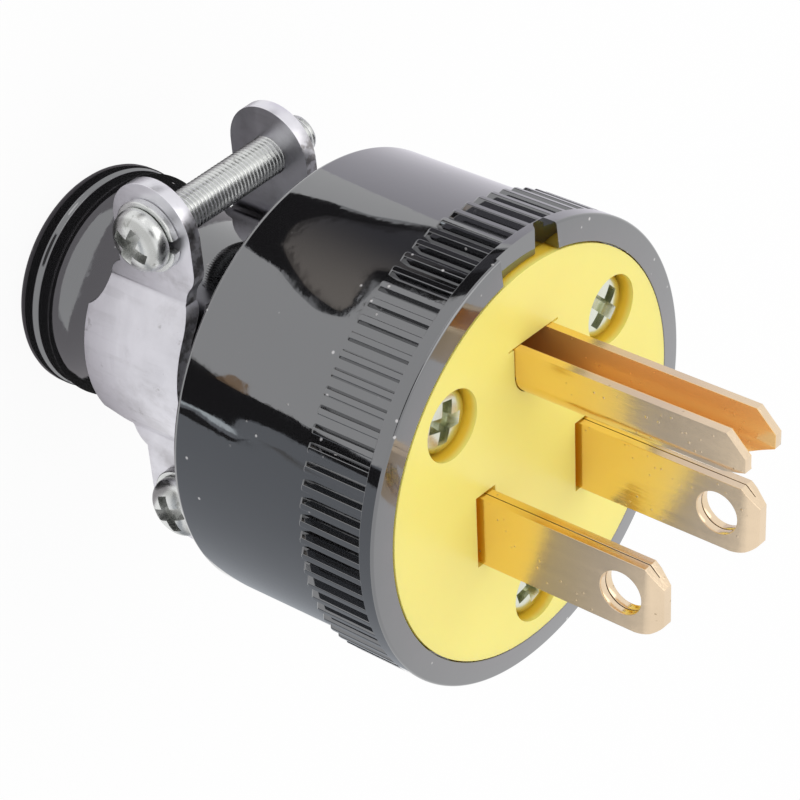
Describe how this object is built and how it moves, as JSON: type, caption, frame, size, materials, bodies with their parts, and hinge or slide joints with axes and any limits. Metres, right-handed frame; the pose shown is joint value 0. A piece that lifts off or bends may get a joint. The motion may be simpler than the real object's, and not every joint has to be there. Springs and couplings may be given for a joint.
{
  "type": "type b plug",
  "caption": "Rewirable plug, type B, with a ribbed round body, yellow face, folded blades, U-shaped earth pin and steel cord clamp.",
  "frame": {"origin": "centre of the neck's rear face, on the plug's axis", "axes": "+Z along the plug's axis to the pins, +Y from the axis to the earth pin, +X to the line blade"},
  "size_m": [0.0392, 0.0392, 0.0688],
  "materials": {
    "body_plastic": "glossy black",
    "face_plastic": "glossy yellow",
    "retainer_plastic": "matt black",
    "blade_brass": "rolled",
    "brass_screw": "bright",
    "green_screw": "green",
    "zinc_screw": "zinc plated",
    "clamp_steel": "zinc plated"
  },
  "bodies": {
    "root": {"shell": "body_plastic", "face_insert": "face_plastic", "terminal_retainer": "retainer_plastic", "blade_line": "blade_brass", "blade_neutral": "blade_brass", "earth_pin": "blade_brass", "face_screw_1": "zinc_screw", "face_screw_2": "zinc_screw", "face_screw_3": "zinc_screw", "terminal_plate_line": "clamp_steel", "terminal_plate_neutral": "clamp_steel", "terminal_plate_earth": "clamp_steel", "terminal_screw_line": "brass_screw", "terminal_screw_neutral": "zinc_screw", "terminal_screw_earth": "green_screw", "cord_clamp_left": "clamp_steel", "cord_clamp_right": "clamp_steel", "clamp_screw_earth_side": "zinc_screw", "clamp_screw_blade_side": "zinc_screw", "lock_washer_earth_side": "zinc_screw", "lock_washer_blade_side": "zinc_screw"}
  },
  "joints": []
}
